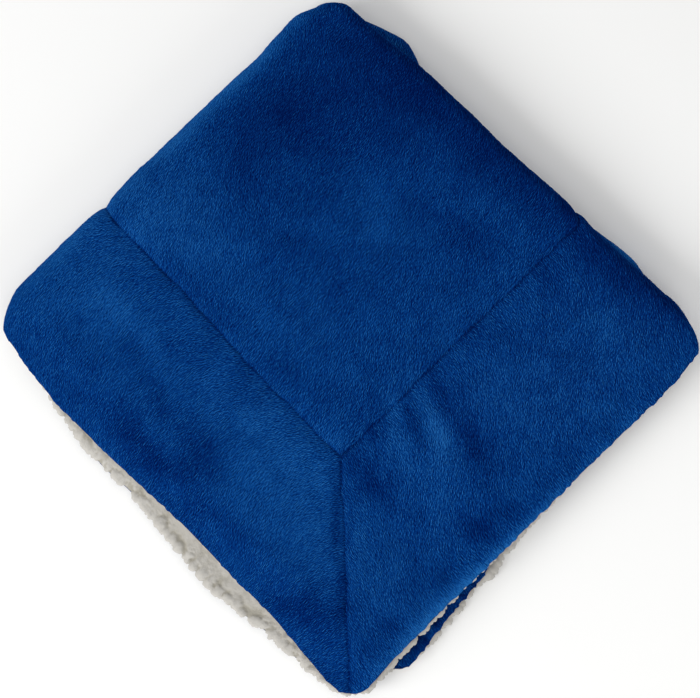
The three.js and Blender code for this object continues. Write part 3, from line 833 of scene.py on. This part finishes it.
def sherpa_relief(across, along):
    """Millimetres of pile to add along the normal: big curls with small ones on them."""
    twist = TWIST["by"] * hills(across, along, TWIST["pitch"], 51)
    big = curls(across + twist, along - twist, CURL["size"], 52) - CURL["sink"]
    small = curls(across - twist, along + twist, CURL["small"], 53) - CURL["sink"]
    return np.maximum(CURL["rise"] * big + CURL["small_rise"] * small, CURL["lowest"])


def overhang(across, along):
    """Millimetres that the pile stands out past the sewn edge: less under plush that lies face up, less
    within the given distances of a fold, by a smooth step, and as pressed out along the bottom leaf."""
    pressed_out = curve(PRESSED_OUT, "by", -across) * (along > 0) * (across < 0)
    by_fold = 0
    for distance, (near, far) in ((across, DRAWN_IN["across"]), (along, DRAWN_IN["along"])):
        by_fold = np.maximum(by_fold, smooth((far - np.abs(distance)) / (far - near)))
    change = np.maximum(pressed_out - DRAWN_IN["by"] * by_fold, DRAWN_IN["most"])
    return mix(HANG, TUCK, face_up(across, along)) + change


def rim_relief(flat, insets, on_pile, on_edge):
    """Millimetres to add to the rings. The curls' share runs from flat inside to full at the rim by a
    bell, and is lower where a leaf lies on them. The overhang is added by a bell round the edge."""
    across, along = flat[..., 0], flat[..., 1]
    free = mix(FACING, 1, smooth(FREE_RIM - insets / RIM_WIDTH))
    free = free * mix(LYING["flat"], LYING["rim"], bell(insets, NOSE))
    free = free[:, None] * mix(1, FACING, on_leaf(-1, across, along))
    relief = sherpa_relief(across, along) * on_pile[:, None] * free
    relief = relief + overhang(across, along) * bell(insets, HANG_REACH)[:, None]
    return relief * on_edge[:, None]


# %% [markdown]
# ## The back as one mesh
# The folded rings get their relief along the normal, and neighbouring rings are joined by triangles. The
# two coarse sheets, on the pile's side and on the hidden one, share the points of the innermost rings.

# %% The sherpa's mesh
def place_rings(flat, insets, depths, levels):
    """The folded rings with their relief added outwards along the normal, and that relief. No point goes
    lower than the table or its own place without relief."""
    across, along = flat[..., 0], flat[..., 1]
    base = fold(across, along, np.broadcast_to(depths[:, None], across.shape))
    normal = normals_of(np.concatenate([base[:, -1:], base, base[:, :1]], axis=1))[:, 1:-1]
    on_pile = (levels == 0) & (depths == 0)
    fine = np.flatnonzero(on_pile)
    middle = fine[len(fine) // 2]
    outwards = base[middle] - fold(across[middle], along[middle], np.full(flat.shape[1], CLOTH))
    out = np.sign((normal[middle] * outwards).sum(-1).mean())
    relief = rim_relief(flat, insets, on_pile, depths == 0)
    place = base + out * normal * relief[..., None]
    place[..., 2] = np.maximum(place[..., 2], np.minimum(base[..., 2], LOWEST))
    return place, relief


def inner_sheet(rim, inset, depth, across_lines, along_lines, first):
    """A coarse sheet inside a ring whose point numbers are rim: its grid of point numbers, which takes the
    outermost from the ring and counts the others from first, and the flat and folded places of those."""
    a, b = across_lines * (WIDTH / 2 - inset), along_lines * (LENGTH / 2 - inset)
    inner = np.stack(np.meshgrid(a[1:-1], b[1:-1], indexing="ij"), -1)
    number = np.zeros((len(a), len(b)), int)
    number[1:-1, 1:-1] = first + np.arange(inner[..., 0].size).reshape(inner.shape[:2])
    near, right, far, left = np.split(rim, np.cumsum([len(a) - 1, len(b) - 1, len(a) - 1]))
    number[:-1, 0], number[-1, :-1] = near, right
    number[:0:-1, -1], number[0, :0:-1] = far, left
    place = fold(inner[..., 0], inner[..., 1], np.full(inner.shape[:2], depth))
    return number, inner.reshape(-1, 2), place.reshape(-1, 3)


def sherpa_sheet():
    """The whole back as one closed mesh: the rim's rings and a coarse sheet on each side."""
    across_coarse, across_fine = rim_lines(WIDTH / 2, FIRST_BEND, BEND_STEPS["first"])
    along_coarse, along_fine = rim_lines(LENGTH / 2, SECOND_BEND, BEND_STEPS["second"])
    insets, depths, levels = (np.array(column) for column in zip(*profile()))
    flat = np.stack([ring(inset, across_fine, along_fine) for inset in insets])
    place, relief = place_rings(flat, insets, depths, levels)
    parts, rings, count = [], [], 0
    for row, level in enumerate(levels):
        keep = slice(None, None, 2**level)
        rings.append(count + np.arange(len(flat[row, keep])))
        far_in = np.full(len(rings[-1]), insets[row])
        parts.append((place[row, keep], flat[row, keep], relief[row, keep], far_in))
        count += len(far_in)
    triangles = [between(a, b) for a, b in zip(rings[:-1], rings[1:])]
    for row, turned in ((0, 1), (-1, -1)):
        lines = (across_coarse, along_coarse)
        number, inner_flat, inner = inner_sheet(rings[row], insets[row], depths[row], *lines, count)
        parts.append((inner, inner_flat, np.zeros(len(inner)), np.full(len(inner), insets[row])))
        triangles.append(squares(number)[:, ::turned])
        count += len(inner)
    points, flats, curl, far_in = (np.concatenate(column) for column in zip(*parts))
    # the colour's share: the relief, which paints shade between the curls, and painted light farther in
    light = curl + PAINTED_LIGHT_INWARD * smooth(far_in / RIM_WIDTH)
    return mesh_object("sherpa_sheet", points, np.concatenate(triangles), {"curl": light}, flats)


pieces["sherpa_back"] = sherpa_sheet()

# %% [markdown]
# ## Colours and nodes
# Both piles are polyester. A colour is given as it looks on a screen, and one function turns it to linear
# light, which the shader works in. One more function adds a node with its settings and links.

# %% Functions for materials
def linear(hex_colour):
    """An sRGB hex colour as linear red, green, blue and alpha."""
    srgb = np.array([int(hex_colour[n : n + 2], 16) / 255 for n in (1, 3, 5)])
    light = np.where(srgb <= 0.04045, srgb / 12.92, ((srgb + 0.055) / 1.055) ** 2.4)
    return (*(float(part) for part in light), 1.0)


def add_node(tree, kind, settings=None, links=None):
    """Adds a node. settings are its own properties or input values, and links join its inputs to the
    outputs of other nodes. The setting called colours spaces a list of colours evenly along a ramp."""
    node = tree.nodes.new(kind)
    for name, value in (settings or {}).items():
        if name == "colours":
            stops = node.color_ramp.elements
            for place in np.linspace(0, 1, len(value))[1:-1]:
                stops.new(place)
            for stop, colour in zip(stops, value):
                stop.color = linear(colour)
        elif isinstance(name, str) and hasattr(node, name):
            setattr(node, name, value)
        else:
            node.inputs[name].default_value = value
    for name, output in (links or {}).items():
        tree.links.new(output, node.inputs[name])
    return node


def new_material(name):
    """An empty node material, and its tree."""
    material = bpy.data.materials.new(name)
    material.use_nodes = True
    material.node_tree.nodes.clear()
    return material, material.node_tree


def pile_surface(tree, colours, share, height, bump, surface):
    """The end of a pile's nodes: a ramp of colours read at share, a bump from height, and the surface."""
    ramp = add_node(tree, "ShaderNodeValToRGB", {"colours": colours}, {"Fac": share})
    grain = add_node(tree, "ShaderNodeBump", bump, {"Height": height})
    links = {"Base Color": ramp.outputs["Color"], "Normal": grain.outputs["Normal"]}
    shader = add_node(tree, "ShaderNodeBsdfPrincipled", surface, links)
    add_node(tree, "ShaderNodeOutputMaterial", {}, {"Surface": shader.outputs["BSDF"]})


# %% [markdown]
# ## Brushed polyester plush
# The plush is a warp-knitted polyester velour, brushed and sheared. Dye goes deep into its pile, and the
# tips are a clear royal blue. The gaps between clumps are coloured nearly navy, the dye's colour with
# painted shade. Fibre ends catch light at a low angle, which is what sheen is for. Its grain is finer than
# the mesh, so noise drawn out along the nap gives it, as colour and as bump, with the colour painted darker
# where the bump is low.

# %% Plush
FIBRE = 0.62 * MM  # single fibres are far too fine to show, so these are bundles of them
TAPS = 5  # points along a bundle that its noise is averaged over
TAP_STEP = 0.6 * FIBRE  # from one to the next, which makes a bundle about three times as long as wide
# the nap's share carries painted light and shade too, and the fibres and strokes paint shade in their lows
TONE = {"middle": 0.455, "fibre": 4.4, "stroke": 0.04, "nap": 0.3}  # shares of the way from navy to royal
NAVY_TO_ROYAL = ["#000c3a", "#011a50", "#022967", "#094183", "#2060a1"]
PLUSH_BUMP = {"Strength": 0.6, "Distance": 0.8 * MM}
VELOUR = {
    "Roughness": 0.85,
    "IOR": 1.5,
    "Specular IOR Level": 0.0,  # the pile leaves no smooth face that could shine
    "Sheen Weight": 0.3,
    "Sheen Roughness": 0.35,
    "Sheen Tint": linear("#1f5fc0"),
}


def bundles(tree):
    """Fine strokes along the nap, about 0.5: noise averaged over a row of points on the flat cloth."""
    flat = add_node(tree, "ShaderNodeUVMap", {"uv_map": "flat_cloth"}).outputs["UV"]
    way = add_node(tree, "ShaderNodeAttribute", {"attribute_name": "nap_way"}).outputs["Vector"]
    total = None
    for tap in range(TAPS):
        step = (tap - (TAPS - 1) / 2) * TAP_STEP
        settings = {"operation": "MULTIPLY_ADD", 1: (step, step, step)}
        place = add_node(tree, "ShaderNodeVectorMath", settings, {0: way, 2: flat})
        settings = {"noise_dimensions": "2D", "Scale": 1 / FIBRE, "Detail": 1}
        noise = add_node(tree, "ShaderNodeTexNoise", settings, {"Vector": place.outputs["Vector"]})
        settings = {"operation": "MULTIPLY", 1: 1 / TAPS}
        share = add_node(tree, "ShaderNodeMath", settings, {0: noise.outputs["Fac"]})
        if total is not None:
            share = add_node(tree, "ShaderNodeMath", {"operation": "ADD"}, {0: share.outputs[0], 1: total})
        total = share.outputs[0]
    return total


def plush_material():
    """Colour from the sum of the fine bundles, the strokes and the nap with its painted light and shade,
    each times its share of the tone, and the bundles again as bump."""
    material, tree = new_material("brushed_polyester_plush")
    fine = bundles(tree)
    settings = {"operation": "MULTIPLY_ADD", 1: TONE["fibre"], 2: -TONE["fibre"] / 2}
    tone = add_node(tree, "ShaderNodeMath", settings, {0: fine})
    for pattern in ("stroke", "nap"):
        strength = add_node(tree, "ShaderNodeAttribute", {"attribute_name": pattern})
        settings = {"operation": "MULTIPLY_ADD", 1: TONE[pattern]}
        links = {0: strength.outputs["Fac"], 2: tone.outputs[0]}
        tone = add_node(tree, "ShaderNodeMath", settings, links)
    settings = {"operation": "ADD", 1: TONE["middle"], "use_clamp": True}
    share = add_node(tree, "ShaderNodeMath", settings, {0: tone.outputs[0]})
    pile_surface(tree, NAVY_TO_ROYAL, share.outputs[0], fine, PLUSH_BUMP, VELOUR)
    return material


finishes = {"plush": plush_material()}
print("plush:", len(finishes["plush"].node_tree.nodes), "nodes")

# %% [markdown]
# ## Curled polyester sherpa
# Sherpa is knitted from curled, undyed polyester. It has no sheen to speak of: light goes into the curls
# and comes out again, so its shadows stay warm and soft. Colour from the relief does that here, grey
# between the curls and cream on them, and is far quicker than light scattered through the pile.

# %% Sherpa
CURL_GRAIN = 1.3 * MM  # the crimp of the fibres, drawn as coarse as it needs to show
CURL_SHADE = {"From Min": -1.6, "From Max": 1.4}  # millimetres of relief, from the darkest to the lightest
GREY_TO_CREAM = ["#8c887e", "#9c988e", "#b4b1ab"]
FLEECE_BUMP = {"Strength": 0.5, "Distance": 0.8 * MM}
FLEECE = {
    "Roughness": 0.95,
    "IOR": 1.5,
    "Specular IOR Level": 0.1,
    "Sheen Weight": 0.15,
    "Sheen Roughness": 0.6,
}


def sherpa_material():
    """Cream, a little darker between the curls, with fine curls as bump."""
    material, tree = new_material("curled_polyester_sherpa")
    curl = add_node(tree, "ShaderNodeAttribute", {"attribute_name": "curl"})
    place = add_node(tree, "ShaderNodeTexCoord")
    settings = {"Scale": 1 / CURL_GRAIN, "Detail": 3}
    grain = add_node(tree, "ShaderNodeTexNoise", settings, {"Vector": place.outputs["Object"]})
    share = add_node(tree, "ShaderNodeMapRange", CURL_SHADE, {"Value": curl.outputs["Fac"]})
    pile_surface(tree, GREY_TO_CREAM, share.outputs["Result"], grain.outputs["Fac"], FLEECE_BUMP, FLEECE)
    return material


finishes["sherpa"] = sherpa_material()
print("sherpa:", len(finishes["sherpa"].node_tree.nodes), "nodes")

# %% [markdown]
# ## Dressing the solids
# Each piece stands for its solid, which is hidden, takes its finish, and hangs from the root body. The
# table gives the size that each was cut to, and the strips are trapezoids, so their flat area is given too.

# %% Finishes, bodies and flat sizes
end_area = (WIDTH - SIDE_BORDER) * END_BORDER
side_area = (LENGTH - END_BORDER) * SIDE_BORDER
cuts = {
    "sherpa_back": (WIDTH, LENGTH, None),
    "centre_panel": (WIDTH - 2 * SIDE_BORDER, LENGTH - 2 * END_BORDER, None),
    "border_strip_end_upper": (WIDTH, END_BORDER, end_area),
    "border_strip_end_lower": (WIDTH, END_BORDER, end_area),
    "border_strip_side_outer": (SIDE_BORDER, LENGTH, side_area),
    "border_strip_side_inner": (SIDE_BORDER, LENGTH, side_area),
}
for node, piece in pieces.items():
    finish = "sherpa" if node == "sherpa_back" else "plush"
    piece.data.materials.append(finishes[finish])
    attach(piece, "root")
    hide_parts(node)
    wide, long, area = cuts[node]
    area = None if area is None else area * MM * MM
print("dressed:", ", ".join(piece.name for piece in pieces.values()))

# %% [markdown]
# ## Floor and light
# The photograph is cut out on plain white, and its light is soft and comes mostly from the near side. So
# the floor is a pale board, and three large square lamps and a bright room give the light. A strong small
# lamp would make the pile's shadows far harder than they are.

# %% Floor
FLOOR = 6  # metres, far wider than the view


def plain_floor():
    """A pale square that the blanket lies on."""
    bpy.ops.mesh.primitive_plane_add(size=FLOOR)
    floor = bpy.context.object
    floor.name = "floor"
    material, tree = new_material("pale_painted_board")
    colour = {"Base Color": linear("#f2f2f1"), "Roughness": 0.9}
    shader = add_node(tree, "ShaderNodeBsdfPrincipled", colour)
    add_node(tree, "ShaderNodeOutputMaterial", {}, {"Surface": shader.outputs["BSDF"]})
    floor.data.materials.append(material)


plain_floor()
print("floor:", FLOOR, "m wide")

# %% Light
LAMPS = {  # place and size in metres, and watts
    "key_light": ((-0.7, -2.3, 1.7), 1.8, 64),
    "side_light": ((2.4, -0.8, 1.1), 1.4, 20),
    "top_light": ((0.2, 0.1, 2.6), 2.2, 18),
}
ROOM_LIGHT = 0.42
for name, (place, size, watts) in LAMPS.items():
    light = bpy.data.lights.new(name, "AREA")
    light.size = size
    light.energy = watts
    lamp = bpy.data.objects.new(name, light)
    bpy.context.scene.collection.objects.link(lamp)
    lamp.location = place
    lamp.rotation_euler = (-Vector(place)).to_track_quat("-Z", "Y").to_euler()
world = bpy.data.worlds.new("studio")
bpy.context.scene.world = world
world.use_nodes = True
world.node_tree.nodes["Background"].inputs["Color"].default_value = linear("#ffffff")
world.node_tree.nodes["Background"].inputs["Strength"].default_value = ROOM_LIGHT
bpy.context.scene.view_settings.view_transform = "Standard"
print(len(LAMPS), "lamps")

# %% [markdown]
# ## The camera
# The photograph shows the blanket from almost straight above, turned so that its free corner is at the
# bottom. The camera stands 1.3 m away and leans 6 degrees towards the free end edges. Its lens follows
# from the distance and from how many pixels of the picture a millimetre takes up.

# %% Camera
AIM = Vector((9.4, 1.5, 30)) * MM
DISTANCE = 1.3
LEAN = np.radians(6)
PX_PER_MM = 1.36  # at the aim's distance, in a picture of 700 by 698
PICTURE_WIDTH = 700
SENSOR = 36

camera_data = bpy.data.cameras.new("camera")
camera_data.sensor_width = SENSOR
camera_data.lens = float(SENSOR * PX_PER_MM * DISTANCE / MM / PICTURE_WIDTH)
camera = bpy.data.objects.new("camera", camera_data)
bpy.context.scene.collection.objects.link(camera)
bpy.context.scene.camera = camera
back = Vector((np.sin(LEAN), 0, np.cos(LEAN)))
up = Vector((-1, 1, 0)).normalized()
right = up.cross(back).normalized()
up = back.cross(right)
camera.location = AIM + DISTANCE * back
camera.rotation_mode = "QUATERNION"
camera.rotation_quaternion = Matrix(np.array([right, up, back]).T.tolist()).to_quaternion()
print("lens", round(camera_data.lens, 2), "mm")
